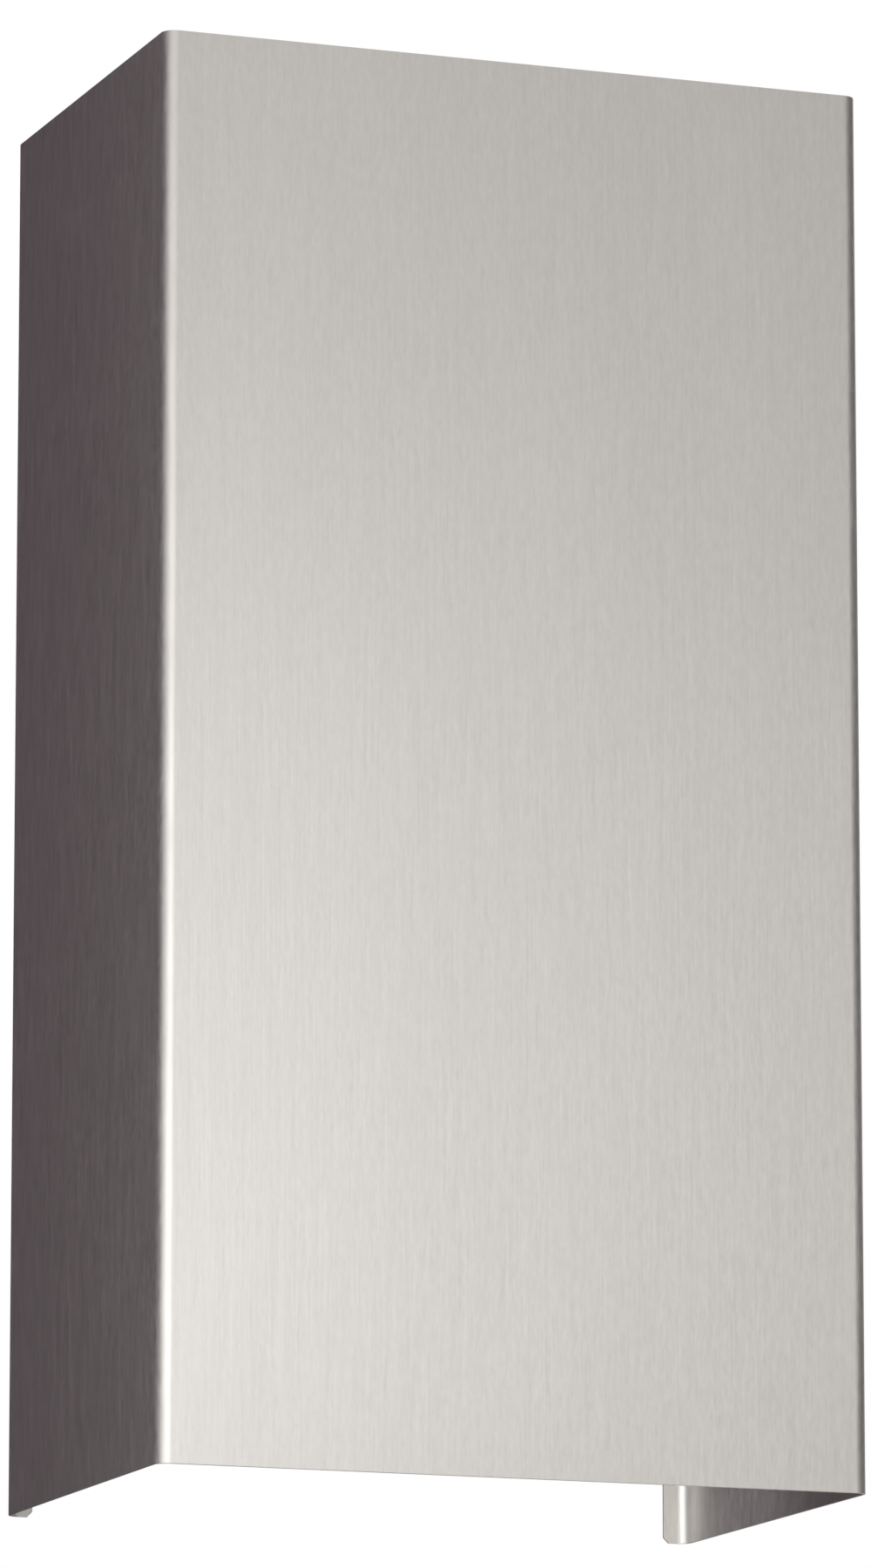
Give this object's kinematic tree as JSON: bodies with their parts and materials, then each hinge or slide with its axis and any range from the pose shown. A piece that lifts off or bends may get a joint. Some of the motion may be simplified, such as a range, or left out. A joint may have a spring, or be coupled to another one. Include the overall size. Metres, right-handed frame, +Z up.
{
  "type": "cooker hood chimney section",
  "caption": "Upright brushed-steel duct cover for a wall cooker hood: one folded sheet with a flat front, two sides and narrow return flanges, open at the back and both ends.",
  "frame": {"origin": "middle of the footprint's bounding rectangle, on the lower edge", "axes": "+Z up the chimney, +Y towards the wall, the front panel faces -Y"},
  "size_m": [0.26, 0.17, 0.5],
  "materials": {
    "brushed_steel": "satin stainless steel, brushed along the chimney's height"
  },
  "bodies": {
    "root": {"chimney_sheet": "brushed_steel"}
  },
  "joints": []
}
